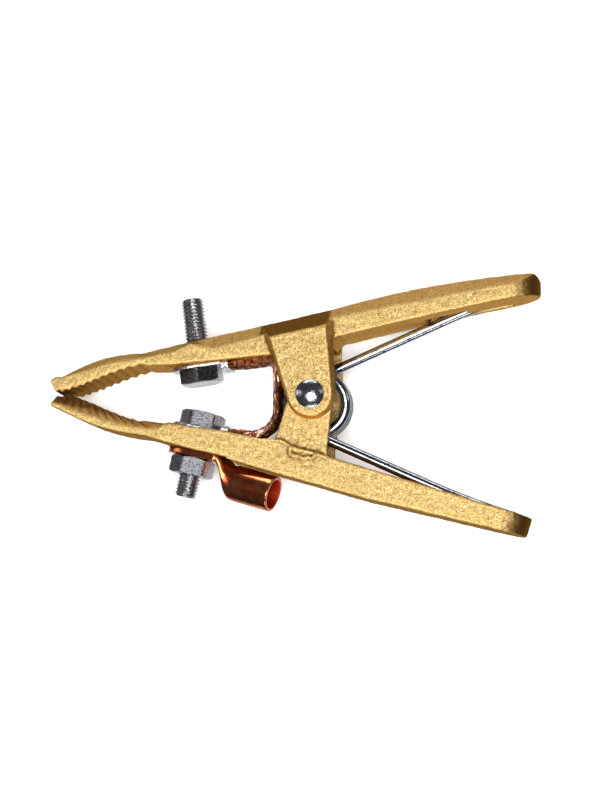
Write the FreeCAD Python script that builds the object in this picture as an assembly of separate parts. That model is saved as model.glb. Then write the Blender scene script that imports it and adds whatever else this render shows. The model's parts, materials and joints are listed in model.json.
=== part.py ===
"""Spring ground clamp: two cast brass arms on a riveted pivot, a torsion spring, a copper
shunt braid between the jaws and a bolted cable lug. Millimetres, +Z along the pivot axis,
+X towards the handles, +Y from the lower arm to the upper arm. The parts are drawn round the
pivot and then moved so that the origin is the bottom centre of the whole clamp."""

import FreeCAD
import Part

import math
import os

from FreeCAD import Vector

# ---- driving dimensions ---------------------------------------------------------------------
ARM_HALF = 13.0            # half width of both arms
RIDGE_HALF = 7.0           # half width of the flat crown on top of the upper arm
EAR_IN, EAR_OUT = 9.7, 12.5        # the two ears of the lower arm, measured from the middle
CHEEK_IN, CHEEK_OUT = 12.8, 17.3   # the two cheeks of the upper arm
CHEEK_R = 9.4              # rounding of cheeks and ears about the pivot
CHEEK_DRAFT = 1.2          # how much wider a cheek is at its root

RIVET_R = 4.0
RIVET_HEAD_R = 6.1
RIVET_HEAD_H = 3.0
RIVET_RIM = 0.7            # straight rim below the dome
RIVET_PLAY = 0.1           # play of the cheeks on the rivet, radial and under each head
SLEEVE_R = 6.5

WIRE_R = 2.1               # spring wire
COIL_R = 12.4              # mean radius of the coil
COIL_X, COIL_Y = 1.3, -3.0         # the loaded coil hangs off the pivot centre
COIL_TURNS = 3.0           # whole turns; the legs add the rest
LEG_UP_DEG, LEG_DOWN_DEG = 23.15, 24.5     # slope of the legs, in line with the handles
LEG_Z = 7.5                # the legs leave at both ends of the coil
LEG_EASE = 6.0             # length over which the coil's pitch runs out into a leg
UPPER_LEG = (58.0, 84.0, 12.5)     # x where a leg's bend starts, x of its tip, slope at the tip
LOWER_LEG = (50.0, 82.0, -18.5)
GROOVE_HALF = 2.6          # half width of the grooves that hold the legs
GROOVE_PLAY = 0.25

THREAD_R = 4.93            # M10, crests of the free thread
HELD_R = 4.51              # pitch radius, where the thread is held in an arm or a nut
BOLT_LENGTH = 31.0
BOLT_CHAMFER = 1.0
CLEARANCE_R = 5.4          # clearance hole for M10
HEX_FLATS = 17.0
HEX_LAND = 8.1             # radius of the flat end inside the chamfer
HEX_CHAMFER_DEG = 30.0
HEAD_HEIGHT = 6.4
NUT_HEIGHT = 8.0
UPPER_HEAD_TURN = -4.0     # how each hexagon happened to be tightened, degrees about its axis
LOWER_HEAD_TURN = 21.0
NUT_TURN = -18.0

SEAT_HALF = 10.5           # half width of the flat seats under tabs and lug
UPPER_SEAT = (-50.4, 15.0)         # where the bolt axis meets the seat of the upper arm
UPPER_TILT = 7.5           # lean of the upper bolt, degrees
LOWER_SEAT = (-50.3, -13.0)
LOWER_TILT = 13.0
LUG_DROP = 9.4             # from the tab seat of the lower arm down to its lug seat
UPPER_DEPTH = 10.8         # from the tab seat of the upper arm up to its top at the bolt

TAB_THICK = 1.5
TAB_HALF = 8.5
TAB_BACK = 12.0            # from the bolt to the rounded end of the tab
FERRULE_START, FERRULE_END = 10.0, 13.4    # the crimped box, from the bolt
FERRULE_THICK = 3.8

BRAID_HALF = 6.5
BRAID_THICK = 3.5

LUG_OUTER_R = 7.75
LUG_BORE_R = 6.2
LUG_PALM_THICK = 2.6
LUG_PALM_HALF = 10.5
LUG_BACK = 11.5            # from the bolt to the rounded end of the palm
LUG_NECK = 12.8             # where the palm starts to rise into the barrel
LUG_BARREL_START = 21.5
LUG_MOUTH = 39.6
LUG_AXIS_DROP = 11.0       # from the palm's top down to the barrel's axis at its mouth
LUG_BARREL_DEG = 4.2       # the barrel dips this much from the palm
LUG_SWING_DEG = 11.3       # the lug is turned this much on its bolt

TOOTH_DEPTH = 1.1
TEETH = 11


UPPER_HELD = TAB_THICK + UPPER_DEPTH       # from the head to where each bolt's free end starts
LOWER_HELD = TAB_THICK + LUG_DROP + LUG_PALM_THICK + NUT_HEIGHT


# ---- small helpers --------------------------------------------------------------------------
def at(point, z=0.0):
    return Vector(point[0], point[1], z)


def turned(x, y, degrees):
    a = math.radians(degrees)
    return x * math.cos(a) - y * math.sin(a), x * math.sin(a) + y * math.cos(a)


def wire(path, z=0.0):
    """A closed outline. Each item is a corner, or (middle, end) for an arc."""
    here = path[0]
    edges = []
    for step in list(path[1:]) + [path[0]]:
        if isinstance(step[0], tuple):
            middle, end = step
            edges.append(Part.Arc(at(here, z), at(middle, z), at(end, z)).toShape())
        else:
            end = step
            edges.append(Part.LineSegment(at(here, z), at(end, z)).toShape())
        here = end
    return Part.Wire(edges)


def slab(path, z0, z1):
    return Part.Face(wire(path, z0)).extrude(Vector(0, 0, z1 - z0))


def taper(path_a, z_a, path_b, z_b):
    """A solid between two outlines with the same steps, at two heights."""
    return Part.makeLoft([wire(path_a, z_a), wire(path_b, z_b)], True, True)


def mirrored(shape):
    return shape.mirror(Vector(0, 0, 0), Vector(0, 0, 1))


def fused(shapes):
    whole = shapes[0].fuse(shapes[1:]) if len(shapes) > 1 else shapes[0]
    return whole.removeSplitter()


def bore(radius, half_length):
    return Part.makeCylinder(radius, 2 * half_length, Vector(0, 0, -half_length))


def toothed(poles, depth):
    """Points along a Bezier curve: crests on it and valleys at the given depth to its left."""
    curve = Part.BezierCurve()
    curve.setPoles([at(p) for p in poles])
    points = []
    for i in range(2 * TEETH + 1):
        t = i / (2 * TEETH)
        on = curve.value(t)
        way = curve.tangent(t)[0]
        inward = depth if i % 2 else 0.0
        points.append((on.x - way.y * inward, on.y + way.x * inward))
    return points


def tangent_point(outside, radius, side):
    """Where a line from a point touches a circle about the pivot, on its left or right."""
    far = math.hypot(*outside)
    angle = math.atan2(outside[1], outside[0]) + side * math.acos(radius / far)
    return radius * math.cos(angle), radius * math.sin(angle)


def on_axis(shape, tilt, place):
    """Moves a shape drawn along +Y from the origin to a bolt axis."""
    shape = shape.copy()
    shape.rotate(Vector(0, 0, 0), Vector(0, 0, 1), tilt)
    shape.translate(at(place))
    return shape


def up_cylinder(radius, y0, y1):
    return Part.makeCylinder(radius, y1 - y0, Vector(0, y0, 0), Vector(0, 1, 0))


# ---- bolt axes and seats --------------------------------------------------------------------
def along(seat, tilt, distance):
    """A point on a bolt axis, measured up from the arm's seat."""
    dx, dy = turned(0, distance, tilt)
    return seat[0] + dx, seat[1] + dy


# The upper bolt leans back at its top, the lower one at its bottom.
UPPER_AXIS = UPPER_TILT
LOWER_AXIS = -LOWER_TILT
LUG_SEAT = along(LOWER_SEAT, LOWER_AXIS, -LUG_DROP)


def seat_block(x0, x1, y0, y1, seat, tilt, half=SEAT_HALF):
    """A box whose sides are given from a bolt's seat, turned with that bolt."""
    block = Part.makeBox(x1 - x0, y1 - y0, 2 * half, Vector(x0, y0, -half))
    return on_axis(block, tilt, seat)


# ---- upper arm ------------------------------------------------------------------------------
UPPER_GRIP = ((-111.6, 3.2), (-100.0, 3.4), (-90.0, 11.4), (-72.5, 14.2))
UPPER_END_X = 96.9
LOWER_END = (92.0, -52.8)


def plan_round(end, angle):
    """The space beside and beyond a handle's rounded end, cut away in plan."""
    r = ARM_HALF
    reach = 40.0
    outer = Part.makeBox(reach, 2 * reach, 2 * reach, Vector(-r, -reach, -reach))
    nose = Part.makeCylinder(r, 2 * reach, Vector(-r, -reach, 0), Vector(0, 1, 0))
    side = outer.cut(nose)
    side.rotate(Vector(0, 0, 0), Vector(0, 0, 1), angle)
    side.translate(at(end))
    return side


def upper_outline(ridge):
    """The side outline, at the crown ridge or at the flat side face of the arm."""
    grip = toothed(UPPER_GRIP, TOOTH_DEPTH)
    below = [
        (-60.0, 14.2),
        (-14.5, 17.9),
        (-14.5, 21.0),
        (8.7, 21.0),
        ((9.6, 23.6), (13.0, 25.0)),
        ((52.0, 33.4), (94.6, 41.3)),
        ((96.2, 41.6), (96.9, 43.0)),
    ]
    if ridge:
        above = [
            (96.9, 46.4),
            ((95.9, 49.5), (92.0, 50.9)),
            ((51.0, 46.4), (8.0, 37.3)),
            (-22.0, 31.1),
            (-43.5, 26.8),
            (-54.0, 24.8),
            (-61.5, 23.1),
            (-74.4, 20.2),
            ((-81.0, 20.0), (-88.0, 19.1)),
            ((-97.5, 16.4), (-106.0, 12.7)),
            (-110.2, 10.5),
            ((-113.2, 9.9), (-113.9, 8.2)),
        ]
    else:
        above = [
            (96.9, 44.4),
            ((95.4, 46.9), (91.6, 47.0)),
            ((51.0, 40.4), (9.0, 33.0)),
            (-22.0, 25.8),
            (-43.5, 21.2),
            (-52.7, 23.2),
            (-60.5, 19.8),
            (-73.2, 17.6),
            ((-80.6, 16.8), (-87.4, 15.9)),
            ((-96.6, 13.2), (-105.0, 10.9)),
            (-109.5, 9.7),
            ((-112.9, 9.3), (-113.7, 8.0)),
        ]
    return grip + below + above


def cheek(grow, top_left, top_right):
    """Outline of a cheek that hangs from the upper arm and ends round the pivot."""
    r = CHEEK_R + grow
    left = tangent_point(top_left, r, 1)
    right = tangent_point(top_right, r, -1)
    return [top_left, left, ((0.0, -r), right), top_right]


def leg_points(up):
    """Tangent point, start of the bend, its middle and the tip of a spring leg."""
    bend_x, tip_x, end_slope = UPPER_LEG if up else LOWER_LEG
    slope = LEG_UP_DEG if up else -LEG_DOWN_DEG
    side = 1 if up else -1
    angle = math.radians(slope + side * 90.0)
    start = (COIL_X + COIL_R * math.cos(angle), COIL_Y + COIL_R * math.sin(angle))
    rise = math.tan(math.radians(slope))
    bend = (bend_x, start[1] + (bend_x - start[0]) * rise)
    a0, a1 = math.radians(slope), math.radians(end_slope)
    radius = (tip_x - bend_x) / (math.sin(a1) - math.sin(a0))
    am = (a0 + a1) / 2

    def on_arc(a):
        x = bend[0] + radius * (math.sin(a) - math.sin(a0))
        y = bend[1] - radius * (math.cos(a) - math.cos(a0))
        return x, y

    return start, bend, on_arc(am), on_arc(a1)


def leg_groove(up):
    """The groove in a handle that takes the outer stretch of a spring leg."""
    side = 1 if up else -1
    gap = side * (WIRE_R + GROOVE_PLAY)
    start, bend, middle, tip = leg_points(up)
    lift = gap / math.cos(math.radians(LEG_UP_DEG if up else LEG_DOWN_DEG))
    path = [
        (start[0], start[1] + lift),
        (bend[0], bend[1] + lift),
        ((middle[0], middle[1] + lift), (tip[0] + 1.0, tip[1] + lift)),
        (tip[0] + 1.0, start[1]),
    ]
    z = -LEG_Z if up else LEG_Z
    return slab(path, z - GROOVE_HALF, z + GROOVE_HALF)


def upper_arm():
    outline, side = upper_outline(True), upper_outline(False)
    crown = taper(outline, RIDGE_HALF, side, ARM_HALF)
    bar = fused([slab(outline, -RIDGE_HALF, RIDGE_HALF), crown, mirrored(crown)])
    bar = bar.cut(plan_round((UPPER_END_X, 46.0), 0.0))
    # The tab seat: a raised pad towards the jaw that runs out into a shallow channel.
    pad = seat_block(-13.0, 0.0, 0.0, 4.0, UPPER_SEAT, UPPER_AXIS, 7.5)
    channel = seat_block(-13.0, 42.0, -8.0, 0.0, UPPER_SEAT, UPPER_AXIS)
    bar = bar.fuse(pad).cut(channel)
    bar = bar.cut(on_axis(up_cylinder(HELD_R, -5.0, 25.0), UPPER_AXIS, UPPER_SEAT))
    # The spring leg's groove, with a wider relief where the leg dips in.
    relief = slab([(46.0, 30.0), (49.0, 35.6), (64.0, 38.9), (66.0, 34.0)], -10.0, 2.0)
    bar = bar.cut(leg_groove(True)).cut(relief)
    face = cheek(0.0, (-17.3, 24.6), (6.6, 29.4))
    root = cheek(CHEEK_DRAFT, (-20.4, 27.0), (9.4, 32.6))
    near = taper(root, CHEEK_IN, face, CHEEK_OUT)
    # A flat shoulder slopes from the crown's edge straight down to each cheek's face.
    shoulder = taper(
        [(-22.4, 28.0), (-22.4, 31.0), (7.9, 37.2), (7.9, 31.0)], RIDGE_HALF,
        [(-17.3, 23.6), (-17.3, 24.6), (6.6, 29.4), (6.6, 27.0)], CHEEK_OUT,
    )
    whole = fused([bar, near, mirrored(near), shoulder, mirrored(shoulder)])
    return whole.cut(bore(RIVET_R + RIVET_PLAY, CHEEK_OUT + 1.0))


# ---- lower arm ------------------------------------------------------------------------------
LOWER_GRIP = ((-74.0, -9.0), (-92.0, -5.5), (-100.0, 3.9), (-111.8, 2.9))
LOWER_BEVEL = ((-67.0, -13.2), (-84.0, -12.3), (-100.0, -6.0), (-113.2, -0.8))
BEVEL_HALF = 7.5           # half width of the gripping face at the tip of the lower jaw


def lower_outline(grip):
    """The side outline, along the gripping face or along the bevel beside it."""
    poles, depth = (LOWER_GRIP, TOOTH_DEPTH) if grip else (LOWER_BEVEL, 0.25)
    tip = (-112.9, 1.6) if grip else (-113.6, -1.2)
    return toothed(poles, depth) + [
        tip,
        (-113.9, -2.4),
        ((-105.2, -6.6), (-95.6, -11.0)),
        ((-84.6, -14.1), (-73.2, -16.0)),
        (22.2, -44.2),
        (88.0, -60.4),
        ((89.5, -60.4), (90.2, -59.2)),
        (92.2, -54.0),
        ((92.2, -53.1), (91.4, -52.6)),
        (11.2, -27.5),
        (-21.0, -18.3),
        (-37.8, -14.5),
        (-62.2, -10.8),
    ]


def riser():
    """Two ears that stand on the lower arm and carry the rivet."""
    left = tangent_point((-15.8, -18.6), CHEEK_R, -1)
    right = tangent_point((6.6, -23.5), CHEEK_R, 1)
    ear = [
        (-15.8, -24.0),
        (-15.8, -18.6),
        left,
        ((0.0, CHEEK_R), right),
        (6.6, -23.5),
        ((7.6, -26.2), (10.4, -27.6)),
        (10.4, -34.0),
    ]
    near = slab(ear, EAR_IN, EAR_OUT)
    return [near, mirrored(near)]


def lower_arm():
    grip, bevel = lower_outline(True), lower_outline(False)
    side = taper(grip, BEVEL_HALF, bevel, ARM_HALF)
    bar = fused([slab(grip, -BEVEL_HALF, BEVEL_HALF), side, mirrored(side)])
    bar = bar.cut(plan_round(LOWER_END, -17.0))
    # The tab seat above, which runs on as a channel for the braid, and the lug seat below.
    pad = seat_block(-13.0, 13.0, -5.0, 0.0, LOWER_SEAT, LOWER_AXIS)
    lug_pad = seat_block(-12.5, 12.5, 0.0, 5.0, LUG_SEAT, LOWER_AXIS, 11.5)
    channel = seat_block(-13.0, 28.0, 0.0, 6.0, LOWER_SEAT, LOWER_AXIS)
    under = seat_block(-12.5, 26.0, -6.0, 0.0, LUG_SEAT, LOWER_AXIS, 12.2)
    across = seat_block(-12.5, 16.0, -6.0, 0.0, LUG_SEAT, LOWER_AXIS, ARM_HALF + 1.0)
    bar = bar.fuse([pad, lug_pad]).cut([channel, under, across])
    bar = bar.cut(on_axis(up_cylinder(CLEARANCE_R, -20.0, 5.0), LOWER_AXIS, LOWER_SEAT))
    bar = bar.cut(leg_groove(False))
    whole = fused([bar] + riser())
    return whole.cut(bore(RIVET_R, EAR_OUT + 1.0))


# ---- pivot ----------------------------------------------------------------------------------
def pivot_rivet():
    """A shank with a domed head at each end."""
    base = CHEEK_OUT + RIVET_PLAY
    crown = RIVET_HEAD_H - RIVET_RIM
    ball_r = (RIVET_HEAD_R**2 + crown**2) / (2 * crown)
    ball = Part.makeSphere(ball_r, Vector(0, 0, base + RIVET_HEAD_H - ball_r))
    head = Part.makeCylinder(RIVET_HEAD_R, RIVET_HEAD_H, Vector(0, 0, base)).common(ball)
    return fused([bore(RIVET_R, base), head, mirrored(head)])


def spacer_sleeve():
    tube = Part.makeCylinder(SLEEVE_R, 2 * EAR_IN, Vector(0, 0, -EAR_IN))
    return tube.cut(bore(RIVET_R, EAR_IN + 1.0))


# ---- torsion spring -------------------------------------------------------------------------
def torsion_spring():
    """A close coil between the ears, with a leg from each end into a handle."""
    up, down = leg_points(True), leg_points(False)
    sweep_deg = 360.0 * COIL_TURNS + (270.0 - LEG_DOWN_DEG) - (90.0 + LEG_UP_DEG)
    # Half the coil's height, once the easing of each leg has taken its share.
    slope = LEG_Z / (math.radians(sweep_deg) / 2 * COIL_R + LEG_EASE / 2)
    half = LEG_Z - LEG_EASE * slope / 2
    coil = Part.makeHelix(2 * half * 360.0 / sweep_deg, 2 * half, COIL_R)
    coil.rotate(Vector(0, 0, 0), Vector(0, 0, 1), 90.0 + LEG_UP_DEG)
    coil.translate(Vector(COIL_X, COIL_Y, -half))

    def leg(points, side):
        """From the tip to the coil: the bend, the straight and the easing."""
        start, bend, middle, tip = points
        z = side * LEG_Z
        way = at(start).sub(at(bend)).normalize()
        eased = at(start, z) - way * LEG_EASE
        arc = Part.Arc(at(tip, z), at(middle, z), at(bend, z)).toShape()
        line = Part.LineSegment(at(bend, z), eased).toShape()
        halfway = at(start, z - side * LEG_EASE * slope / 8) - way * (LEG_EASE / 2)
        ease = Part.Arc(eased, halfway, at(start, side * half)).toShape()
        return [arc, line, ease]

    path = Part.Wire(leg(up, -1) + coil.Edges + leg(down, 1)[::-1])
    first = path.Edges[0]
    ring = Part.makeCircle(WIRE_R, at(up[3], -LEG_Z), first.tangentAt(first.FirstParameter))
    return path.makePipeShell([Part.Wire([ring])], True, False, 0)


# ---- fasteners ------------------------------------------------------------------------------
def hexagon(height, turn_deg):
    """A hexagonal block on the plane y = 0, with that end chamfered."""
    corner = HEX_FLATS / math.sqrt(3)
    points = []
    for i in range(7):
        a = math.radians(60 * i + turn_deg)
        points.append(Vector(corner * math.sin(a), 0, corner * math.cos(a)))
    block = Part.Face(Part.makePolygon(points)).extrude(Vector(0, height, 0))
    rise = (HEX_FLATS - HEX_LAND) * math.tan(math.radians(HEX_CHAMFER_DEG))
    cone = Part.makeCone(HEX_LAND, HEX_FLATS, rise, Vector(0, 0, 0), Vector(0, 1, 0))
    drum = Part.makeCylinder(HEX_FLATS, height, Vector(0, rise, 0), Vector(0, 1, 0))
    return block.common(cone.fuse(drum))


def flipped(shape):
    shape = shape.copy()
    shape.rotate(Vector(0, 0, 0), Vector(0, 0, 1), 180)
    return shape


def bolt(turn_deg, held_from, held_to):
    """A hexagon bolt drawn head down: its head is below y = 0 and its shank above. One stretch
    of its thread is held in an arm or a nut."""
    near = up_cylinder(THREAD_R, 0.0, held_from)
    held = up_cylinder(HELD_R, held_from, held_to)
    free = up_cylinder(THREAD_R, held_to, BOLT_LENGTH - BOLT_CHAMFER)
    point = Part.makeCone(
        THREAD_R, THREAD_R - BOLT_CHAMFER, BOLT_CHAMFER,
        Vector(0, BOLT_LENGTH - BOLT_CHAMFER, 0), Vector(0, 1, 0),
    )
    head = hexagon(HEAD_HEIGHT, turn_deg)
    head.translate(Vector(0, -HEAD_HEIGHT, 0))
    return fused([head, near, held, free, point])


def upper_bolt():
    shape = bolt(UPPER_HEAD_TURN, TAB_THICK, UPPER_HELD)
    return on_axis(shape, UPPER_AXIS, along(UPPER_SEAT, UPPER_AXIS, -TAB_THICK))


def lower_bolt():
    shape = flipped(bolt(LOWER_HEAD_TURN, LOWER_HELD - NUT_HEIGHT, LOWER_HELD))
    return on_axis(shape, LOWER_AXIS, along(LOWER_SEAT, LOWER_AXIS, TAB_THICK))


def lug_nut():
    nut = hexagon(NUT_HEIGHT, NUT_TURN)
    other = flipped(hexagon(NUT_HEIGHT, -NUT_TURN))
    other.translate(Vector(0, NUT_HEIGHT, 0))
    nut = nut.common(other).cut(up_cylinder(HELD_R, -1.0, NUT_HEIGHT + 1.0))
    drop = LUG_PALM_THICK + NUT_HEIGHT
    return on_axis(nut, LOWER_AXIS, along(LUG_SEAT, LOWER_AXIS, -drop))


# ---- cable lug ------------------------------------------------------------------------------
def lug_section(x, y, half_height, half_width, power, tilt_deg):
    """A closed curve across the lug, from round (power 2) to flat (a high power)."""
    points = []
    for i in range(24):
        a = 2 * math.pi * i / 24
        c, s = math.cos(a), math.sin(a)
        height = half_height * math.copysign(abs(s) ** (2 / power), s)
        width = half_width * math.copysign(abs(c) ** (2 / power), c)
        dx, dy = turned(0, height, -tilt_deg)
        points.append(Vector(x + dx, y + dy, width))
    curve = Part.BSplineCurve()
    curve.interpolate(points, True)
    return Part.Wire([curve.toShape()])


def lug_axis(x):
    """Height of the barrel's axis below the palm's top, at a distance from the bolt."""
    drop = math.tan(math.radians(LUG_BARREL_DEG)) * (x - LUG_MOUTH)
    return -LUG_AXIS_DROP - drop


def cable_lug():
    """A tube lug with a drilled palm; the barrel is open and empty."""
    t = LUG_PALM_THICK
    start = LUG_BARREL_START
    way = Vector(*turned(1, 0, -LUG_BARREL_DEG), 0)
    mouth = Vector(LUG_MOUTH, lug_axis(LUG_MOUTH), 0)
    length = (LUG_MOUTH - start) / way.x
    back = mouth - way * length
    inside = back + way
    barrel = Part.makeCylinder(LUG_OUTER_R, length, back, way)
    neck_x = LUG_NECK
    plate = [
        (neck_x + 0.5, -LUG_PALM_HALF),
        (-1.0, -LUG_PALM_HALF),
        ((-LUG_BACK, 0.0), (-1.0, LUG_PALM_HALF)),
        (neck_x + 0.5, LUG_PALM_HALF),
    ]
    palm = slab(plate, 0.0, t)
    palm.rotate(Vector(0, 0, 0), Vector(1, 0, 0), 90)
    neck = Part.makeLoft([
        lug_section(neck_x, -t / 2, t / 2 - 0.15, LUG_PALM_HALF - 0.3, 8, 0.0),
        lug_section(neck_x + 2.6, -t / 2 - 1.7, t / 2 + 1.3, LUG_PALM_HALF - 0.9, 4, 0.0),
        lug_section(start - 2.0, lug_axis(start - 2.0) + 0.3, 7.0, 8.0, 2.3, 4.0),
        lug_section(inside.x, inside.y, LUG_OUTER_R - 0.1, LUG_OUTER_R - 0.1, 2, LUG_BARREL_DEG),
    ], True, False)
    slit = Part.makeLoft([
        lug_section(neck_x + 3.4, -t / 2 - 2.0, 0.6, 7.4, 3, 0.0),
        lug_section(start - 2.0, lug_axis(start - 2.0) + 0.3, 5.2, 6.4, 2.3, 4.0),
        lug_section(inside.x, inside.y, LUG_BORE_R - 0.1, LUG_BORE_R - 0.1, 2, LUG_BARREL_DEG),
    ], True, False)
    hollow = Part.makeCylinder(LUG_BORE_R, length + 1.0, back + way * 0.3, way)
    lug = fused([barrel, neck, palm]).cut(slit).cut(hollow)
    lug = lug.cut(up_cylinder(CLEARANCE_R, -t - 1.0, 1.0))
    lug.rotate(Vector(0, 0, 0), Vector(0, 1, 0), -LUG_SWING_DEG)
    return on_axis(lug, LOWER_AXIS, LUG_SEAT)


# ---- shunt braid ----------------------------------------------------------------------------
def braid_terminal():
    """A tinned tab on y = 0 and above, with a hole at the origin and a crimped box at +X."""
    plate = [
        (FERRULE_START, -TAB_HALF),
        (-TAB_BACK + TAB_HALF, -TAB_HALF),
        ((-TAB_BACK, 0.0), (-TAB_BACK + TAB_HALF, TAB_HALF)),
        (FERRULE_START, TAB_HALF),
    ]
    tab = slab(plate, 0.0, TAB_THICK)
    tab.rotate(Vector(0, 0, 0), Vector(1, 0, 0), -90)
    box = Part.makeBox(
        FERRULE_END - FERRULE_START, FERRULE_THICK, 2 * TAB_HALF,
        Vector(FERRULE_START, 0, -TAB_HALF),
    )
    rounded = [e for e in box.Edges if abs(e.tangentAt(e.FirstParameter).x) > 0.9]
    box = box.makeFillet(1.1, rounded)
    whole = fused([tab, box])
    return whole.cut(up_cylinder(CLEARANCE_R, -1.0, 3.0))


def upper_braid_terminal():
    shape = braid_terminal().mirror(Vector(0, 0, 0), Vector(0, 1, 0))
    return on_axis(shape, UPPER_AXIS, UPPER_SEAT)


def lower_braid_terminal():
    return on_axis(braid_terminal(), LOWER_AXIS, LOWER_SEAT)


def braid_route():
    """Corners of the braid's middle line and the bend radius at each inner corner."""
    half = FERRULE_THICK / 2

    def exit_point(seat, tilt, side):
        dx, dy = turned(FERRULE_END - 0.5, side * half, tilt)
        return seat[0] + dx, seat[1] + dy

    first = exit_point(UPPER_SEAT, UPPER_AXIS, -1)
    last = exit_point(LOWER_SEAT, LOWER_AXIS, 1)
    corners = [first, (-16.0, 17.3), (-16.0, -17.8), last]
    return corners, (4.6, 11.0)


def shunt_braid():
    corners, radii = braid_route()
    pieces = []
    here = corners[0]
    for before, corner, after, radius in zip(corners, corners[1:], corners[2:], radii):
        a = at(before).sub(at(corner)).normalize()
        b = at(after).sub(at(corner)).normalize()
        half_angle = a.getAngle(b) / 2
        run = radius / math.tan(half_angle)
        p, q = at(corner) + a * run, at(corner) + b * run
        centre = at(corner) + (a + b).normalize() * (radius / math.sin(half_angle))
        middle = centre + (at(corner) - centre).normalize() * radius
        pieces.append(Part.LineSegment(at(here), p).toShape())
        pieces.append(Part.Arc(p, middle, q).toShape())
        here = (q.x, q.y)
    pieces.append(Part.LineSegment(at(here), at(corners[-1])).toShape())
    path = Part.Wire(pieces)
    way = pieces[0].tangentAt(pieces[0].FirstParameter)
    across = Vector(0, 0, 1)
    up = across.cross(way)
    half = BRAID_THICK / 2
    ends = []
    for s, w in ((1, 1), (-1, 1), (-1, -1), (1, -1), (1, 1)):
        ends.append(at(corners[0]) + up * (s * half) + across * (w * BRAID_HALF))
    braid = path.makePipeShell([Part.makePolygon(ends)], True, False, 1)
    return braid.cut([upper_braid_terminal(), lower_braid_terminal()])


# ---- build ----------------------------------------------------------------------------------
NODES = {
    "upper_arm": upper_arm,
    "lower_arm": lower_arm,
    "pivot_rivet": pivot_rivet,
    "spacer_sleeve": spacer_sleeve,
    "torsion_spring": torsion_spring,
    "upper_bolt": upper_bolt,
    "lower_bolt": lower_bolt,
    "lug_nut": lug_nut,
    "cable_lug": cable_lug,
    "shunt_braid": shunt_braid,
    "upper_braid_terminal": upper_braid_terminal,
    "lower_braid_terminal": lower_braid_terminal,
}


def main():
    os.makedirs("parts", exist_ok=True)
    shapes = {name: make() for name, make in NODES.items()}
    box = FreeCAD.BoundBox()
    for shape in shapes.values():
        box.add(shape.BoundBox)
    shift = Vector(-box.Center.x, -box.Center.y, -box.ZMin)
    print("pivot at", shift)
    print("size", box.XLength, box.YLength, box.ZLength)
    for name, shape in shapes.items():
        shape.translate(shift)
        print(name, shape.ShapeType, len(shape.Solids), round(shape.Volume), shape.isValid())
        shape.Solids[0].exportStep(f"parts/{name}.step")


main()
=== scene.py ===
import json
import math

import bmesh
import bpy
import numpy as np
from mathutils import Matrix, Vector, noise


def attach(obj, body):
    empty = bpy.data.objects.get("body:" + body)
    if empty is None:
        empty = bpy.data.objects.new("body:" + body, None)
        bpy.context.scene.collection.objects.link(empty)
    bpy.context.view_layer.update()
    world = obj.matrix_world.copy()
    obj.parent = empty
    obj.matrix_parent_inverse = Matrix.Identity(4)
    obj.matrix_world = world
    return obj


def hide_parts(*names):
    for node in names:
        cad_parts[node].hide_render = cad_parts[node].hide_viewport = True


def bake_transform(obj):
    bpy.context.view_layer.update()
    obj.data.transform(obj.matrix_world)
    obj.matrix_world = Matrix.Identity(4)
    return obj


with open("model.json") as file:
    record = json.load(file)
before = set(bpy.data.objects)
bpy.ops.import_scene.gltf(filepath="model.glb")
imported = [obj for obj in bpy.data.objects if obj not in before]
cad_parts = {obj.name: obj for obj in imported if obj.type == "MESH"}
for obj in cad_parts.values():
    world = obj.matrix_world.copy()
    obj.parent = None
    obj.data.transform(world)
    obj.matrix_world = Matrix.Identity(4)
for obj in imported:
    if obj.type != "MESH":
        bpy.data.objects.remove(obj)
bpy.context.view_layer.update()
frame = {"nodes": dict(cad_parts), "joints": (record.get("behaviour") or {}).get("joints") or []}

MM = 0.001
PIVOT = Vector(frame["joints"][0]["pos_m"])
LOWER, UPPER = "lower_body", "upper_body"
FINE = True

# Where the parts sit, in millimetres from the pivot, as in the CAD model.
UPPER_SEAT, UPPER_TILT = (-50.4, 15.0), 7.5        # bolt axis on the arm's inner face
LOWER_SEAT, LOWER_TILT = (-50.3, -13.0), -13.0
ARM_FACE = 13.0                                    # the arms' near face, along the pivot
TAB_THICK, LUG_DROP, PALM_THICK = 1.5, 9.4, 2.6
BARREL_MIDDLE = (-0.0169458, -0.033799, 0.0264155)  # of the lug's bore, in metres
BARREL_WAY = (0.93644059, -0.29135901, 0.19541993)


def at(x, y, z=0.0):
    """A point given in millimetres from the pivot's middle, in the frame's metres."""
    return PIVOT + Vector((x, y, z)) * MM


def turned(x, y, degrees):
    """A step in the plane of the arms, turned about the pivot's direction."""
    a = math.radians(degrees)
    return x * math.cos(a) - y * math.sin(a), x * math.sin(a) + y * math.cos(a)


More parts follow.
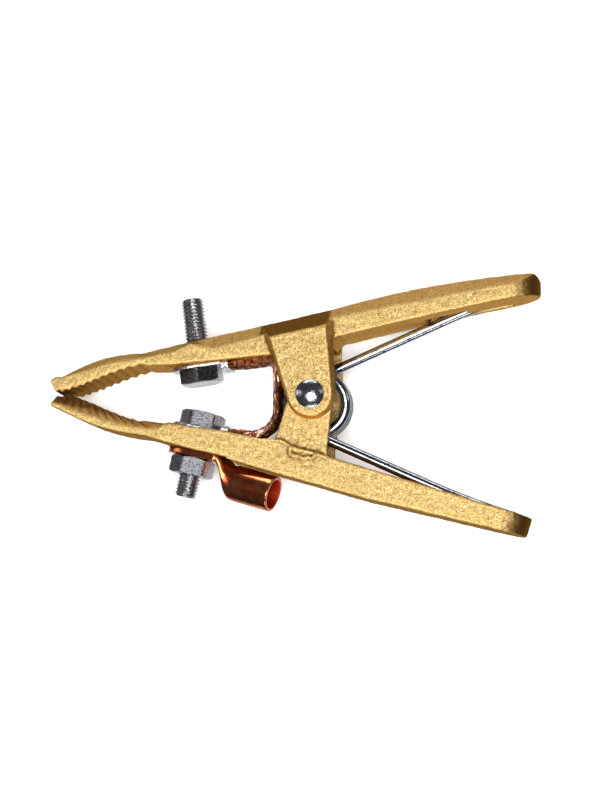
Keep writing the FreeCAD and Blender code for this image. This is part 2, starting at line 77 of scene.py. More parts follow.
# ---- materials ------------------------------------------------------------------------------
class Look:
    """A node material whose patterns are laid out in object space, in metres."""

    def __init__(self, name):
        self.mat = bpy.data.materials.new(name)
        self.mat.use_nodes = True
        self.tree = self.mat.node_tree
        self.shader = self.tree.nodes["Principled BSDF"]
        place = self.tree.nodes.new("ShaderNodeTexCoord")
        self.where = place.outputs["Object"]
        self.normal = place.outputs["Normal"]

    def node(self, kind, **inputs):
        made = self.tree.nodes.new(kind)
        for key, value in inputs.items():
            self.put(made.inputs[key.replace("_", " ")], value)
        return made

    def put(self, socket, value):
        if isinstance(value, bpy.types.NodeSocket):
            self.tree.links.new(value, socket)
        else:
            socket.default_value = value

    def noise(self, scale, detail=3.0, rough=0.6, stretch=None):
        """Noise from 0 to 1; the scale is in features per metre."""
        made = self.node("ShaderNodeTexNoise", Scale=scale, Detail=detail, Roughness=rough)
        where = self.where
        if stretch:
            where = self.node("ShaderNodeMapping", Vector=where, Scale=stretch).outputs["Vector"]
        self.put(made.inputs["Vector"], where)
        return made.outputs["Fac"]

    def ramp(self, value, *stops):
        """A value from 0 to 1 turned into greys or colours, from stops of place and colour."""
        made = self.node("ShaderNodeValToRGB", Fac=value)
        line = made.color_ramp.elements
        while len(line) < len(stops):
            line.new(0.5)
        for element, (place, colour) in zip(line, stops):
            element.position = place
            if isinstance(colour, (int, float)):
                colour = (colour, colour, colour)
            element.color = (*colour, 1.0)
        return made.outputs["Color"]

    def mix(self, amount, a, b):
        """The first colour where the amount is 0 and the second where it is 1."""
        made = self.tree.nodes.new("ShaderNodeMix")
        made.data_type = "RGBA"
        self.put(made.inputs[0], amount)
        for slot, value in ((6, a), (7, b)):
            if isinstance(value, tuple):
                value = (*value, 1.0)
            self.put(made.inputs[slot], value)
        return made.outputs[2]

    def math(self, how, *values):
        made = self.tree.nodes.new("ShaderNodeMath")
        made.operation = how
        for socket, value in zip(made.inputs, values):
            self.put(socket, value)
        return made.outputs[0]

    def vector(self, how, a, b=None):
        made = self.tree.nodes.new("ShaderNodeVectorMath")
        made.operation = how
        self.put(made.inputs[0], a)
        if b is not None:
            self.put(made.inputs[1], b)
        return made

    def from_half(self, value, scale=0.5):
        """A value that can be negative, scaled and moved so that 0 becomes a half."""
        return self.math("MULTIPLY_ADD", value, scale, 0.5)

    def facing(self, axis):
        """How far a face looks along an axis of the object, from -1 to 1."""
        split = self.tree.nodes.new("ShaderNodeSeparateXYZ")
        self.put(split.inputs[0], self.normal)
        return split.outputs[axis]

    def along_x(self, scale):
        """The place along the object's X, in metres times a scale, from a half up."""
        split = self.tree.nodes.new("ShaderNodeSeparateXYZ")
        self.put(split.inputs[0], self.where)
        return self.from_half(split.outputs["X"], scale)

    def from_axis(self, middle, way):
        """How far a place is from an axis, and how far along it, both in metres."""
        off = self.vector("SUBTRACT", self.where, tuple(middle)).outputs[0]
        away = self.vector("LENGTH", self.vector("CROSS_PRODUCT", off, tuple(way)).outputs[0])
        return away.outputs[1], self.vector("DOT_PRODUCT", off, tuple(way)).outputs[1]

    def pointed(self):
        """Under a half in hollows and over it on edges, from the mesh's own shape."""
        return self.tree.nodes.new("ShaderNodeNewGeometry").outputs["Pointiness"]

    def fade(self, value, low, high, most):
        """The most where the value is low, running out to nothing where it is high."""
        return self.ramp(value, (low, most), (high, 0.0))

    def bump(self, *layers):
        """Stacks bumps: each layer is a height, its depth in metres and its strength."""
        last = None
        for height, depth, strength in layers:
            made = self.node("ShaderNodeBump", Height=height, Distance=depth, Strength=strength)
            if last:
                self.put(made.inputs["Normal"], last)
            last = made.outputs["Normal"]
        self.put(self.shader.inputs["Normal"], last)

    def metal(self, colour, roughness):
        """Finishes the look as a bare metal and gives its material."""
        self.shader.inputs["Metallic"].default_value = 1.0
        self.put(self.shader.inputs["Base Color"], colour)
        self.put(self.shader.inputs["Roughness"], roughness)
        return self.mat


BRIGHT_BRASS, WARM_BRASS = (1.0, 0.85, 0.40), (1.0, 0.75, 0.28)
# Of the colours on the next three lines, the speckle and the pits are the brass's own; the rest
# are painted shade for sloping faces, hollows, turned-away faces and rounded ends.
SPECKLE, SLOPE_SHADE = (0.70, 0.28, 0.040), (0.62, 0.26, 0.040)
PIT, HOLLOW_SHADE = (0.10, 0.034, 0.008), (0.07, 0.03, 0.008)
TURNED_SHADE, END_SHADE = (0.17, 0.062, 0.010), (0.13, 0.052, 0.010)


def cast_brass(name, under):
    """Blasted cast brass: orange speckle and dark pits, with painted shade in hollows, on sloping
    faces, on the sides, the cheek shoulders and the toothed faces, and on the rounded ends.
    The last value says how much of the painted side shade falls on the faces that look down."""
    look = Look(name)
    grain = look.noise(1500.0, 4.0, 0.75)
    pits = look.noise(2400.0, 2.0, 0.5)
    broad = look.noise(60.0, 3.0, 0.55)
    base = look.mix(broad, BRIGHT_BRASS, WARM_BRASS)
    base = look.mix(look.fade(grain, 0.38, 0.56, 0.85), base, SPECKLE)
    base = look.mix(look.fade(pits, 0.35, 0.43, 0.85), base, PIT)
    # Painted shade darkens the hollows and creases, found from the mesh's pointiness.
    base = look.mix(look.fade(look.pointed(), 0.465, 0.505, 0.85), base, HOLLOW_SHADE)
    across = look.math("ABSOLUTE", look.facing("Z"))
    above = look.from_half(look.facing("Y"))
    # Painted shade tints the faces that slope away from the near face orange-brown.
    base = look.mix(look.fade(across, 0.84, 0.94, 0.42), base, SLOPE_SHADE)
    # Painted shade on the faces turned away from the near face; faces that look down get only the
    # last value's share of it.
    skin = look.math("MULTIPLY", look.fade(across, 0.25, 0.52, 0.90),
                     look.ramp(above, (0.30, under), (0.62, 1.0)))
    # The sloping shoulder over each cheek gets the same painted shade.
    shoulder = look.ramp(look.along_x(10.0), (0.355, 0.0), (0.366, 0.90), (0.655, 0.90),
                         (0.672, 0.0))
    shoulder = look.math("MULTIPLY", shoulder, look.ramp(above, (0.78, 0.0), (0.84, 1.0)))
    skin = look.math("MAXIMUM", skin, shoulder)
    # The toothed faces get more painted shade toward the jaw's tip.
    grip = look.math("MULTIPLY", look.fade(across, 0.25, 0.52, 0.85),
                     look.fade(look.along_x(4.5), 0.05, 0.32, 1.0))
    grip = look.math("MULTIPLY", grip, look.fade(above, 0.30, 0.42, 1.0))
    # The sides, shoulders and toothed faces take the painted shade colour here.
    base = look.mix(look.math("MAXIMUM", skin, grip), base, TURNED_SHADE)
    # The rounded handle ends get painted shade.
    ends = look.math("ABSOLUTE", look.facing("X"))
    tips = look.math("MULTIPLY", look.ramp(ends, (0.12, 0.0), (0.75, 0.85)),
                     look.ramp(look.along_x(4.5), (0.82, 0.0), (0.93, 1.0)))
    base = look.mix(tips, base, END_SHADE)
    look.shader.inputs["Specular Tint"].default_value = (1.0, 0.74, 0.40, 1.0)
    look.bump((look.noise(420.0, 3.0), 0.00035, 0.35), (grain, 0.00026, 0.9))
    return look.metal(base, look.ramp(grain, (0.3, 0.60), (0.7, 0.38)))


# The specks' colour is the plating's own; the other two are painted shade, for the hexagons'
# flats and for the coil's side toward the braid.
SPECK, HEX_FLAT_SHADE, COIL_SHADE = (0.030, 0.026, 0.024), (0.050, 0.052, 0.058), (0.02, 0.016, 0.013)


def plated(name, colour, dull, low, high, scratch=(1.0, 1.0, 1.0), dent=0.00022, mottle=0.0,
           flat_shade=0.0, braid_side_shade=False):
    """Zinc or tin plating over a forged surface: small dents, cloudy brightness, dark marks.
    Mottle is how dark the specks are, and the value for the hexagons is how much painted shade
    darkens their flats that face along the pivot."""
    look = Look(name)
    cloud = look.noise(350.0, 4.0, 0.6)
    forged = look.noise(1000.0, 3.0, 0.6, stretch=scratch)
    marks = look.noise(900.0, 2.0, 0.5, stretch=scratch)
    base = look.mix(look.ramp(cloud, (0.35, 0.0), (0.75, 0.55)), colour, dull)
    base = look.mix(look.fade(marks, 0.32, 0.42, 0.7), base, tuple(c * 0.25 for c in dull))
    if mottle:
        specks = look.noise(1300.0, 3.0, 0.65)
        base = look.mix(look.fade(specks, 0.47, 0.57, mottle), base, SPECK)
    if flat_shade:
        # The hexagons' flats facing along the pivot get painted shade; the threads, whose flanks
        # lean along the bolt, are left out.
        near = look.math("ABSOLUTE", look.facing("Z"))
        lean = look.math("ABSOLUTE", look.facing("Y"))
        flat = look.math("MULTIPLY", look.ramp(near, (0.55, 0.0), (0.80, flat_shade)),
                         look.fade(lean, 0.26, 0.36, 1.0))
        base = look.mix(flat, base, HEX_FLAT_SHADE)
    if braid_side_shade:
        # Painted shade darkens the side of the coil that faces the braid.
        base = look.mix(look.fade(look.along_x(30.0), 0.50, 0.60, 0.92), base, COIL_SHADE)
    look.bump((forged, dent, 0.8), (marks, 0.00004, 0.4))
    return look.metal(base, look.ramp(marks, (0.3, high), (0.7, low)))


BORE_RED, BORE_ROUGH = (0.60, 0.055, 0.014), (0.62, 0.62, 0.62)


def copper(name, bright, dark, low, high, size, stretch=None, bore=None):
    """Clouded copper. A bore is the middle and the direction of a barrel's inside."""
    look = Look(name)
    cloud = look.noise(size, 4.0, 0.6, stretch=stretch)
    base = look.mix(look.ramp(cloud, (0.40, 0.0), (0.60, 1.0)), bright, dark)
    rough = look.ramp(cloud, (0.3, low), (0.7, high))
    if bore:
        # The barrel's inside is clean and matt, and red from light thrown between its walls.
        away, along = look.from_axis(*bore)
        inner = look.fade(look.math("MULTIPLY", away, 50.0), 0.316, 0.327, 1.0)
        mouth = look.ramp(look.math("ADD", along, 0.5), (0.488, 0.0), (0.494, 1.0))
        inside = look.math("MULTIPLY", inner, mouth)
        base = look.mix(inside, base, BORE_RED)
        rough = look.mix(inside, rough, BORE_ROUGH)
    look.bump((cloud, 0.00008, 0.3))
    return look.metal(base, rough)


LOOKS = {
    "cast_brass": cast_brass("cast_brass", 0.10),
    "plated_steel": plated("plated_steel", (0.78, 0.78, 0.80), (0.42, 0.42, 0.45), 0.14, 0.32,
                           mottle=0.30, flat_shade=0.91),
    "spring_steel": plated("spring_steel", (0.50, 0.53, 0.60), (0.28, 0.30, 0.36), 0.06, 0.16,
                           scratch=(0.12, 1.0, 1.0), dent=0.00004, braid_side_shade=True),
    "tinned_copper": plated("tinned_copper", (0.80, 0.77, 0.80), (0.50, 0.45, 0.50), 0.22, 0.42),
    "lug_copper": copper("lug_copper", (0.88, 0.30, 0.12), (0.50, 0.10, 0.035), 0.14, 0.30, 160.0,
                         bore=(BARREL_MIDDLE, BARREL_WAY)),
    "braid_copper": copper("braid_copper", (1.0, 0.60, 0.40), (0.22, 0.035, 0.015), 0.18, 0.40,
                           900.0, stretch=(1.0, 0.25, 1.0)),
}
RIVET_LOOK = plated("rivet_steel", (0.60, 0.62, 0.72), (0.30, 0.31, 0.38), 0.10, 0.24,
                    dent=0.00012, mottle=0.35)
# A shaded copy for the lower arm, with more painted shade on the faces that look down.
LOWER_ARM_LOOK = cast_brass("cast_brass_lower", 0.80)


# ---- mesh helpers ---------------------------------------------------------------------------
def grid_faces(rows, columns, closed_rows=False):
    """Quads between rings of vertices; closed rows also join the last ring to the first."""
    faces = []
    for i in range(rows if closed_rows else rows - 1):
        for j in range(columns):
            k = (j + 1) % columns
            n = (i + 1) % rows
            faces.append((i * columns + j, i * columns + k, n * columns + k, n * columns + j))
    return faces


def piece(name, verts, faces, slot, body=None, nodes=(), sharp=40.0):
    """A piece from its vertices and faces. Edges sharper than an angle in degrees stay sharp."""
    mesh = bpy.data.meshes.new(name)
    mesh.from_pydata([tuple(v) for v in verts], [], faces)
    mesh.validate()
    work = bmesh.new()
    work.from_mesh(mesh)
    bmesh.ops.recalc_face_normals(work, faces=work.faces)
    work.to_mesh(mesh)
    work.free()
    return finish_piece(mesh, name, slot, body, nodes, sharp)


def finish_piece(mesh, name, slot, body, nodes, sharp=0.0):
    """A piece from a mesh: its look, its body and the CAD nodes it replaces."""
    obj = bpy.data.objects.new(name, mesh)
    bpy.context.scene.collection.objects.link(obj)
    mesh.materials.clear()
    mesh.materials.append(LOOKS[slot])
    mesh.shade_smooth()
    if sharp:
        mesh.set_sharp_from_angle(angle=math.radians(sharp))
    if body:
        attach(obj, body)
    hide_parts(*nodes)
    return obj


def tube(line, radius, sides, round_ends=True):
    """Vertices and faces of a round tube along a line of points, closed at both ends.
    The sides turn as little as they can along the line, so the tube does not twist."""
    pts = [np.array(p, float) for p in line]
    n = len(pts)
    ways = [pts[min(i + 1, n - 1)] - pts[max(i - 1, 0)] for i in range(n)]
    ways = [w / np.linalg.norm(w) for w in ways]
    side = np.cross(ways[0], (0.0, 0.0, 1.0))
    if np.linalg.norm(side) < 0.1:
        side = np.cross(ways[0], (0.0, 1.0, 0.0))
    rings = []
    for p, w in zip(pts, ways):
        side = side - w * np.dot(side, w)
        side /= np.linalg.norm(side)
        rings.append((p, w, side.copy(), np.cross(w, side), 1.0))
    if round_ends:
        first, last = rings[0], rings[-1]
        for step, size in ((0.25, 0.92), (0.40, 0.70)):
            rings.insert(0, (first[0] - first[1] * radius * step, *first[1:4], size))
            rings.append((last[0] + last[1] * radius * step, *last[1:4], size))
    verts = []
    for p, w, u, v, size in rings:
        for j in range(sides):
            a = 2 * math.pi * j / sides
            verts.append(p + (u * math.cos(a) + v * math.sin(a)) * radius * size)
    faces = grid_faces(len(rings), sides)
    faces.append(tuple(range(sides - 1, -1, -1)))
    faces.append(tuple(range(len(verts) - sides, len(verts))))
    return verts, faces


def join(parts):
    """Several shapes as one list of vertices and one of faces."""
    verts, faces = [], []
    for v, f in parts:
        shift = len(verts)
        verts.extend(v)
        faces.extend(tuple(i + shift for i in face) for face in f)
    return verts, faces


def applied(obj):
    """The object's mesh with its modifiers applied; the object itself is removed."""
    graph = bpy.context.evaluated_depsgraph_get()
    mesh = bpy.data.meshes.new_from_object(obj.evaluated_get(graph))
    old = obj.data
    bpy.data.objects.remove(obj)
    if old.users == 0:
        bpy.data.meshes.remove(old)
    return mesh


def skinned(node, voxel, smooth, extra=()):
    """A CAD node's shape as one even skin with softened edges. Extra shapes grow into it."""
    work = bmesh.new()
    work.from_mesh(frame["nodes"][node].data)
    bmesh.ops.remove_doubles(work, verts=work.verts, dist=2e-6)
    for verts, faces in extra:
        made = [work.verts.new(v) for v in verts]
        for face in faces:
            work.faces.new([made[i] for i in face])
    mesh = bpy.data.meshes.new("skin")
    work.to_mesh(mesh)
    work.free()
    obj = bpy.data.objects.new("skin", mesh)
    bpy.context.scene.collection.objects.link(obj)
    even = obj.modifiers.new("even", "REMESH")
    even.mode = "VOXEL"
    even.voxel_size = voxel * MM * (1.0 if FINE else 2.0)
    even.adaptivity = 0.0
    soft = obj.modifiers.new("soft", "SMOOTH")
    soft.factor = 0.5
    soft.iterations = smooth
    return applied(obj)


def roughen(mesh, layers):
    """Moves every vertex along its normal by layered noise: (wave length, height), in mm."""
    n = len(mesh.vertices)
    co = np.empty(n * 3, np.float64)
    mesh.vertices.foreach_get("co", co)
    co = co.reshape(-1, 3)
    normals = np.array([v.normal for v in mesh.vertices], float)
    lift = np.zeros(n)
    for length, height in layers:
        scaled = co / (length * MM)
        lift += height * MM * np.array([noise.noise(Vector(p)) for p in scaled])
    co += normals * lift[:, None]
    mesh.vertices.foreach_set("co", co.ravel())
    mesh.update()


# ---- cast arms ------------------------------------------------------------------------------
CAST_WAVES = (9.0, 0.12), (2.6, 0.16), (1.3, 0.10)     # wave length and height


def cast_arm(node, body, extra=()):
    """One casting, with soft edges and an uneven surface."""
    mesh = skinned(node, 0.5, 3, extra)
    roughen(mesh, CAST_WAVES)
    obj = finish_piece(mesh, node + "_cast", "cast_brass", body, (node,))
    # The lower arm takes the copy with more painted shade on its downward faces.
    if body == LOWER:
        obj.data.materials[0] = LOWER_ARM_LOOK


def parting_scar():
    """The wandering flash line where the ears leave the lower arm, and the scar below it."""
    height, lump_height, pieces = ARM_FACE + 0.05, ARM_FACE - 0.1, 6
    line = [(-25.0, -17.6), (-17.0, -18.6), (-12.6, -19.4), (-8.6, -22.0), (-4.6, -23.2),
            (-0.6, -24.2), (3.0, -25.4), (6.4, -26.4)]
    scar = [(-9.4, -22.0), (-8.9, -25.4), (-7.0, -26.2), (-5.4, -25.4), (-3.6, -27.4),
            (-1.6, -26.6), (0.4, -27.4), (1.8, -25.4)]
    parts = []
    for corners, radius in ((line, 0.42), (scar, 0.72)):
        dense = []
        for i in range(len(corners) - 1):
            for k in range(pieces):
                t = k / pieces
                x = corners[i][0] * (1 - t) + corners[i + 1][0] * t
                y = corners[i][1] * (1 - t) + corners[i + 1][1] * t
                dense.append((x + 0.35 * math.sin(5.1 * x), y + 0.30 * math.sin(4.3 * x + 1.0)))
        parts.append(tube([at(x, y, height) for x, y in dense], radius * MM, 8))
    for i in range(26):
        u = (i * 0.618034) % 1.0
        v = (i * 0.754878) % 1.0
        x, y = -8.4 + 10.4 * u, -25.4 + 2.2 * v - 1.3 * (u - 0.5)
        lump = [at(x, y, lump_height), at(x + 0.9, y - 0.3, lump_height)]
        parts.append(tube(lump, (0.22 + 0.12 * v) * MM, 8))
    return parts


cast_arm("upper_arm", UPPER)
cast_arm("lower_arm", LOWER, parting_scar())


# ---- hardware -------------------------------------------------------------------------------
ACROSS_FLATS, CORNER_R = 17.0, 9.66
LAND = ACROSS_FLATS / 2 * 0.95             # flat ring inside the chamfer
CHAMFER_DEG = 30.0
NUT_HIGH, HEAD_HIGH, BOLT_LONG = 8.0, 6.4, 31.0
THREAD_R, THREAD_DEEP, PITCH = 4.93, 0.82, 1.5
UPPER_SPIN, LOWER_SPIN, NUT_SPIN = -4.0, 21.0, -18.0


def hex_radius(angle):
    """Distance from the axis to the hexagon's side, with the corners rounded off a little."""
    a = (angle + math.pi / 6) % (math.pi / 3) - math.pi / 6
    return min(ACROSS_FLATS / 2 / math.cos(math.pi / 6 - abs(a)), CORNER_R)


def hex_body(height, low, high, hole=0.0, steps=96):
    """A hexagon along +Y from 0 to its height. Low and high say which ends are chamfered, and
    a hole goes right through with a countersink at each end."""
    slope = math.tan(math.radians(CHAMFER_DEG))
    start, sink, rim = (hole, 0.5, hole + 0.6) if hole else (0.02, 0.0, None)
    rings = []
    for end, inward, cut in ((height, -1, high), (0.0, 1, low)):
        side = [[(start, end + inward * sink)] * steps]
        if rim:
            side.append([(rim, end)] * steps)
        side.append([(LAND, end)] * steps)
        edge = []
        for j in range(steps):
            r = hex_radius(2 * math.pi * j / steps)
            edge.append((r, end + inward * (r - LAND) * slope if cut else end))
        side.append(edge)
        rings += side if inward < 0 else side[::-1]
    verts = []
    for ring in rings:
        for j, (r, y) in enumerate(ring):
            a = 2 * math.pi * j / steps
            verts.append((r * math.sin(a), y, r * math.cos(a)))
    return verts, grid_faces(len(rings), steps, closed_rows=bool(hole))


def threaded_rod(y0, y1, r_out, depth, pitch, steps=40, per=8):
    """A rod along +Y with a real helical thread and a chamfered far end."""
    chamfer, crest, flanks = 1.0, 0.12, 0.76
    rows = int((y1 - y0) / pitch * per) + 1
    verts = []
    for i in range(rows + 1):
        y = y0 + (y1 - y0) * i / rows
        for j in range(steps):
            turn = (y / pitch - j / steps) % 1.0
            tooth = max(0.0, min(1.0, (abs(turn - 0.5) * 2 - crest) / flanks))
            r = r_out - depth * tooth
            if y1 - y < chamfer:
                r = min(r, r_out - chamfer + (y1 - y))
            a = 2 * math.pi * j / steps
            verts.append((r * math.sin(a), y, r * math.cos(a)))
    faces = grid_faces(rows + 1, steps)
    faces.append(tuple(range(steps)))
    faces.append(tuple(range(len(verts) - steps, len(verts))))
    return verts, faces


def placed(shape, seat, distance, tilt, spin=0.0, flip=False):
    """Moves a shape drawn along +Y to a bolt axis. The distance is from the arm's seat."""
    verts, faces = shape
    dx, dy = turned(0.0, distance, tilt)
    put = Matrix.Translation(at(seat[0] + dx, seat[1] + dy))
    put = put @ Matrix.Rotation(math.radians(tilt + (180.0 if flip else 0.0)), 4, "Z")
    put = put @ Matrix.Rotation(math.radians(spin), 4, "Y") @ Matrix.Scale(MM, 4)
    return [put @ Vector(v) for v in verts], faces


def bolt(name, seat, tilt, spin, flip, body, node):
    """Head and threaded shank of one bolt. The head stands on the braid's tab."""
    verts, faces = hex_body(HEAD_HIGH, True, False)
    head = [(x, y - HEAD_HIGH, z) for x, y, z in verts], faces
    rod = threaded_rod(-0.4, BOLT_LONG, THREAD_R, THREAD_DEEP, PITCH)
    shift = TAB_THICK if flip else -TAB_THICK
    shape = join([placed(head, seat, shift, tilt, spin, flip),
                  placed(rod, seat, shift, tilt, 0.0, flip)])
    piece(name, *shape, "plated_steel", body, (node,), sharp=25.0)


bolt("upper_bolt_threaded", UPPER_SEAT, UPPER_TILT, UPPER_SPIN, False, UPPER, "upper_bolt")
bolt("lower_bolt_threaded", LOWER_SEAT, LOWER_TILT, LOWER_SPIN, True, LOWER, "lower_bolt")
nut = placed(hex_body(NUT_HIGH, True, True, hole=THREAD_R + 0.05), LOWER_SEAT,
             -(LUG_DROP + PALM_THICK + NUT_HIGH), LOWER_TILT, NUT_SPIN)
piece("lug_nut_chamfered", *nut, "plated_steel", LOWER, ("lug_nut",), sharp=25.0)


def rivet():
    """The rivet's profile from one domed end to the other, turned about the pivot."""
    shank, rim, base, top, edge, soft = 4.0, 6.1, 17.4, 20.4, 18.1, 0.12
    rings, steps = 12, 72
    ball = (rim**2 + (top - edge) ** 2) / (2 * (top - edge))
    half = []
    for i in range(rings):
        r = 0.02 + (rim - soft) * i / (rings - 1)
        half.append((r, top - ball + math.sqrt(ball**2 - r**2)))
    half += [(rim, edge - soft / 2), (rim, base + soft), (rim - soft, base), (shank, base)]
    line = half + [(r, -z) for r, z in reversed(half)]
    verts = []
    for r, z in line:
        for j in range(steps):
            a = 2 * math.pi * j / steps
            verts.append(at(r * math.cos(a), r * math.sin(a), z))
    return verts, grid_faces(len(line), steps)


rivet_piece = piece("pivot_rivet_domed", *rivet(), "plated_steel", LOWER, ("pivot_rivet",),
                    sharp=35.0)
rivet_piece.data.materials[0] = RIVET_LOOK


# ---- torsion spring -------------------------------------------------------------------------
COIL_X, COIL_Y = 1.3, -3.0
COIL_R, WIRE_R = 12.4, 2.1
LEG_Z, EASE = 7.5, 6.0                             # the legs' distance from the middle plane,
                                                   # and how much of each curves toward it
UP_DEG, DOWN_DEG = 23.15, -24.5                    # the legs' slopes from the coil
SWEEP = math.radians(3 * 360.0 + 180.0 + DOWN_DEG - UP_DEG)
UPPER_LEG, LOWER_LEG = (58.0, 84.0, 12.5), (50.0, 82.0, -18.5)   # bend, tip, slope at the tip


def spring_leg(up):
    """Points of one leg from its tip to the coil, in mm from the pivot, and the place along
    the pivot where its end of the coil starts."""
    side = 1 if up else -1
    slope = UP_DEG if up else DOWN_DEG
    bend_x, tip_x, end = UPPER_LEG if up else LOWER_LEG
    bends, straights = 8, 24
    a = math.radians(slope + side * 90.0)
    start = (COIL_X + COIL_R * math.cos(a), COIL_Y + COIL_R * math.sin(a))
    rise = math.tan(math.radians(slope))
    a0, a1 = math.radians(slope), math.radians(end)
    radius = (tip_x - bend_x) / (math.sin(a1) - math.sin(a0))
    bend_y = start[1] + (bend_x - start[0]) * rise
    points = []
    for i in range(bends + 1):
        b = a1 + (a0 - a1) * i / bends
        points.append((bend_x + radius * (math.sin(b) - math.sin(a0)),
                       bend_y - radius * (math.cos(b) - math.cos(a0))))
    run = bend_x - start[0]
    for i in range(1, straights + 1):
        x = bend_x - run * i / straights
        points.append((x, start[1] + (x - start[0]) * rise))
    pitch_slope = LEG_Z / (SWEEP / 2 * COIL_R + EASE / 2)
    line = []
    for x, y in points:
        left = math.hypot(x - start[0], y - start[1])
        ease = max(0.0, EASE - left)
        drop = pitch_slope * ease**2 / (2 * EASE)
        line.append((x, y, (LEG_Z - drop) * (-1 if up else 1)))
    return line, LEG_Z - EASE * pitch_slope / 2


def spring_line():
    """The wire's middle line: upper leg, coil and lower leg, in mm from the pivot."""
    first, half = spring_leg(True)
    last, _ = spring_leg(False)
    steps = 240
    coil = []
    for i in range(1, steps):
        a = math.radians(90.0 + UP_DEG) + SWEEP * i / steps
        coil.append((COIL_X + COIL_R * math.cos(a), COIL_Y + COIL_R * math.sin(a),
                     half * (2 * i / steps - 1)))
    return first + coil + last[::-1]


spring = piece("torsion_spring_wire", *tube([at(*p) for p in spring_line()], WIRE_R * MM, 24),
               "spring_steel", nodes=("torsion_spring",), sharp=50.0)
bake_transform(spring)


# ---- shunt braid ----------------------------------------------------------------------------
BRAID_X = -16.0                                    # where the braid runs past the coil
BOX_OUT, BOX_UP = 12.9, 1.9                        # the braid's end in a tab's crimped box


def braid_line():
    """The braid's middle line: straight runs joined by arcs, in mm from the pivot."""
    def leaves(seat, tilt, y):
        dx, dy = turned(BOX_OUT, y, tilt)
        return seat[0] + dx, seat[1] + dy

    corners = [leaves(UPPER_SEAT, UPPER_TILT, -BOX_UP), (BRAID_X, 17.3), (BRAID_X, -17.8),
               leaves(LOWER_SEAT, LOWER_TILT, BOX_UP)]
    radii, steps = (4.6, 11.0), 8
    line = [Vector(corners[0])]
    for before, corner, after, radius in zip(corners, corners[1:], corners[2:], radii):
        c = Vector(corner)
        a = (Vector(before) - c).normalized()
        b = (Vector(after) - c).normalized()
        half = a.angle(b) / 2
        p, q = c + a * (radius / math.tan(half)), c + b * (radius / math.tan(half))
        hub = c + (a + b).normalized() * (radius / math.sin(half))
        for i in range(steps + 1):
            arm = (p - hub).lerp(q - hub, i / steps).normalized() * radius
            line.append(hub + arm)
    line.append(Vector(corners[-1]))
    return line


def even_line(line, step):
    """The same line cut into equal steps, as distances along it and places."""
    lengths = [0.0]
    for a, b in zip(line, line[1:]):
        lengths.append(lengths[-1] + (b - a).length)
    count = int(lengths[-1] / step)
    places = []
    k = 0
    for i in range(count + 1):
        s = lengths[-1] * i / count
        while k < len(lengths) - 2 and lengths[k + 1] < s:
            k += 1
        t = (s - lengths[k]) / (lengths[k + 1] - lengths[k])
        places.append((s, line[k].lerp(line[k + 1], t)))
    return places


def braid():
    """A flat tubular braid: carriers of parallel wires that cross over and under, round a
    plain core that closes the gaps between them."""
    carriers, wires, lay = 10, 3, 70.0
    half_wide, half_thick, wire_r = 6.20, 1.42, 0.44
    beside, over = 0.17, 0.34              # between wires of a carrier, and at a crossing
    squeezed, ease = 0.55, 6.0             # the flattened ends in the crimped boxes
    core_thick, core_wide = 0.95, 5.7
    places = even_line(braid_line(), 0.9 if FINE else 1.8)
    count = len(places)
    total = places[-1][0]
    frames = []
    for i, (s, p) in enumerate(places):
        ahead = places[min(i + 1, count - 1)][1] - places[max(i - 1, 0)][1]
        ahead.normalize()
        frames.append((s, p, Vector((-ahead.y, ahead.x))))
    parts = []
    for way in (1, -1):
        for c in range(carriers):
            for w in range(wires):
                spread = (w - (wires - 1) / 2) * beside
                line = []
                for s, p, across in frames:
                    phase = way * 2 * math.pi * s / lay + 2 * math.pi * c / carriers
                    a = phase + spread
                    cross = math.cos(carriers * (2 * math.pi * s / lay) + math.pi * (c % 2))
                    pinch = min(1.0, squeezed + (1 - squeezed) * min(s, total - s) / ease)
                    lift = over * way * cross * pinch
                    wide = half_wide * math.copysign(abs(math.cos(a)) ** 0.75, math.cos(a))
                    round_over = math.copysign(abs(math.sin(a)) ** 0.6, math.sin(a))
                    thick = (half_thick * pinch + lift) * round_over
                    q = p + across * thick
                    line.append(at(q.x, q.y, wide))
                parts.append(tube(line, wire_r * MM, 5, round_ends=False))
    verts = []
    for _, p, n in frames:
        for side, z in ((1, core_wide), (-1, core_wide), (-1, -core_wide), (1, -core_wide)):
            q = p + n * core_thick * side
            verts.append(at(q.x, q.y, z))
    faces = grid_faces(count, 4)
    faces += [(0, 1, 2, 3), tuple(range(len(verts) - 4, len(verts)))]
    parts.append((verts, faces))
    return join(parts)


strands = piece("shunt_braid_strands", *braid(), "braid_copper", nodes=("shunt_braid",),
                sharp=60.0)
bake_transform(strands)


# ---- lug and tabs ---------------------------------------------------------------------------
mesh = skinned("cable_lug", 0.3, 4)
roughen(mesh, ((7.0, 0.10), (2.0, 0.03)))
finish_piece(mesh, "cable_lug_tube", "lug_copper", LOWER, ("cable_lug",))


def crimped(node, seat, tilt, down, body):
    """A braid tab with a pressed row across the outer face of its crimped box."""
    box_from, face_from, row, row_half = 10.2, 2.9, 11.7, 0.75
    row_deep, uneven, waves = 0.45, 0.12, 2.6
    mesh = skinned(node, 0.25, 3)
    for v in mesh.vertices:
        x, y = (v.co.x - PIVOT.x) / MM - seat[0], (v.co.y - PIVOT.y) / MM - seat[1]
        u, h = turned(x, y, -tilt)
        height = -h if down else h
        if u > box_from and height > face_from:
            press = row_deep * max(0.0, math.cos((u - row) / row_half * math.pi / 2)) ** 2
            ripple = uneven * math.cos((v.co.z - PIVOT.z) / MM * waves)
            dx, dy = turned(0.0, (press + ripple * press) * (1 if down else -1), tilt)
            v.co.x += dx * MM
            v.co.y += dy * MM
    roughen(mesh, ((3.0, 0.05),))
    finish_piece(mesh, node + "_crimped", "tinned_copper", body, (node,))


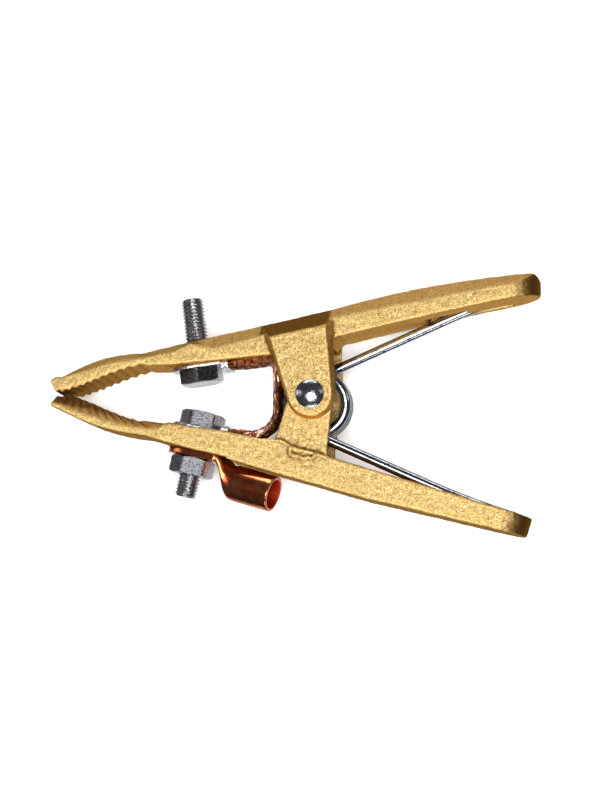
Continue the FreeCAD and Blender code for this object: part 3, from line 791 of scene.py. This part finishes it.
crimped("upper_braid_terminal", UPPER_SEAT, UPPER_TILT, True, UPPER)
crimped("lower_braid_terminal", LOWER_SEAT, LOWER_TILT, False, LOWER)

sleeve = frame["nodes"]["spacer_sleeve"]
sleeve.data.materials.clear()
sleeve.data.materials.append(LOOKS["plated_steel"])


# ---- stage, light and camera ----------------------------------------------------------------
def floor():
    """A wide matt white floor that shiny metal does not mirror."""
    look = Look("floor")
    look.shader.inputs["Base Color"].default_value = (0.93, 0.93, 0.93, 1.0)
    look.shader.inputs["Roughness"].default_value = 0.9
    look.shader.inputs["Specular IOR Level"].default_value = 0.0
    mesh = bpy.data.meshes.new("floor")
    reach = 6.0
    mesh.from_pydata([(-reach, -reach, 0), (reach, -reach, 0), (reach, reach, 0),
                      (-reach, reach, 0)], [], [(0, 1, 2, 3)])
    mesh.materials.append(look.mat)
    obj = bpy.data.objects.new("floor", mesh)
    bpy.context.scene.collection.objects.link(obj)
    obj.visible_glossy = False
    return obj


def softbox(name, place, wide, high, power):
    """A rectangular lamp that looks at the middle of the clamp."""
    data = bpy.data.lights.new(name, "AREA")
    data.shape = "RECTANGLE"
    data.size, data.size_y = wide, high
    data.energy = power
    obj = bpy.data.objects.new(name, data)
    obj.location = place
    obj.rotation_euler = (CENTRE - Vector(place)).to_track_quat("-Z", "Y").to_euler()
    bpy.context.scene.collection.objects.link(obj)
    return obj


def lights(ground):
    """Softboxes round the clamp, and a wash that reaches the floor alone."""
    softbox("key", (0.12, -0.28, 1.33), 0.90, 0.90, 15.5)
    softbox("left", (-1.6, 0.3, 0.55), 0.5, 1.2, 2.5)
    softbox("right", (1.6, 0.5, 0.5), 0.5, 1.2, 1.5)
    softbox("front", (0.1, -1.7, 0.5), 1.4, 0.5, 9.0)
    softbox("back", (-0.1, 1.8, 0.30), 1.6, 0.5, 10.0)
    wash = softbox("floor_wash", (0.0, 0.0, 3.0), 4.0, 4.0, 150.0)
    only = bpy.data.collections.new("floor_only")
    only.objects.link(ground)
    wash.light_linking.receiver_collection = only


def surroundings():
    """What shiny metal mirrors: dim walls and ceiling over a bright ground."""
    world = bpy.data.worlds.new("studio")
    bpy.context.scene.world = world
    world.use_nodes = True
    sky = world.node_tree
    coord = sky.nodes.new("ShaderNodeTexCoord")
    split = sky.nodes.new("ShaderNodeSeparateXYZ")
    shade = sky.nodes.new("ShaderNodeValToRGB")
    lift = sky.nodes.new("ShaderNodeMapRange")
    lift.inputs["From Min"].default_value = -1.0
    sky.links.new(coord.outputs["Generated"], split.inputs[0])
    sky.links.new(split.outputs["Z"], lift.inputs["Value"])
    sky.links.new(lift.outputs["Result"], shade.inputs["Fac"])
    sky.links.new(shade.outputs["Color"], sky.nodes["Background"].inputs["Color"])
    stops = ((0.0, 0.90), (0.20, 0.65), (0.27, 0.03), (0.50, 0.04), (0.56, 0.07), (0.97, 0.08))
    bar = shade.color_ramp.elements
    while len(bar) < len(stops):
        bar.new(0.5)
    for element, (place, value) in zip(bar, stops):
        element.position = place
        element.color = (value, value, value * 1.02, 1.0)


def camera():
    """Looks down on the clamp, a little from the side of the handles and the lower arm."""
    lens = bpy.data.cameras.new("camera")
    lens.lens = 111.15
    lens.sensor_width = 36.0
    eye = bpy.data.objects.new("camera", lens)
    right = Vector((0.9881801, 0.0, -0.1532971))
    up = Vector((0.0187239, 0.9925127, 0.1206977))
    back = Vector((0.1521493, -0.1221414, 0.9807814))
    place = at(152.489, -130.066, 1040.918)
    eye.matrix_world = Matrix((
        (right.x, up.x, back.x, place.x),
        (right.y, up.y, back.y, place.y),
        (right.z, up.z, back.z, place.z),
        (0, 0, 0, 1),
    ))
    bpy.context.scene.collection.objects.link(eye)
    bpy.context.scene.camera = eye


CENTRE = Vector((0.0, 0.0, 0.02))
lights(floor())
surroundings()
camera()
bpy.context.scene.view_settings.view_transform = "Standard"
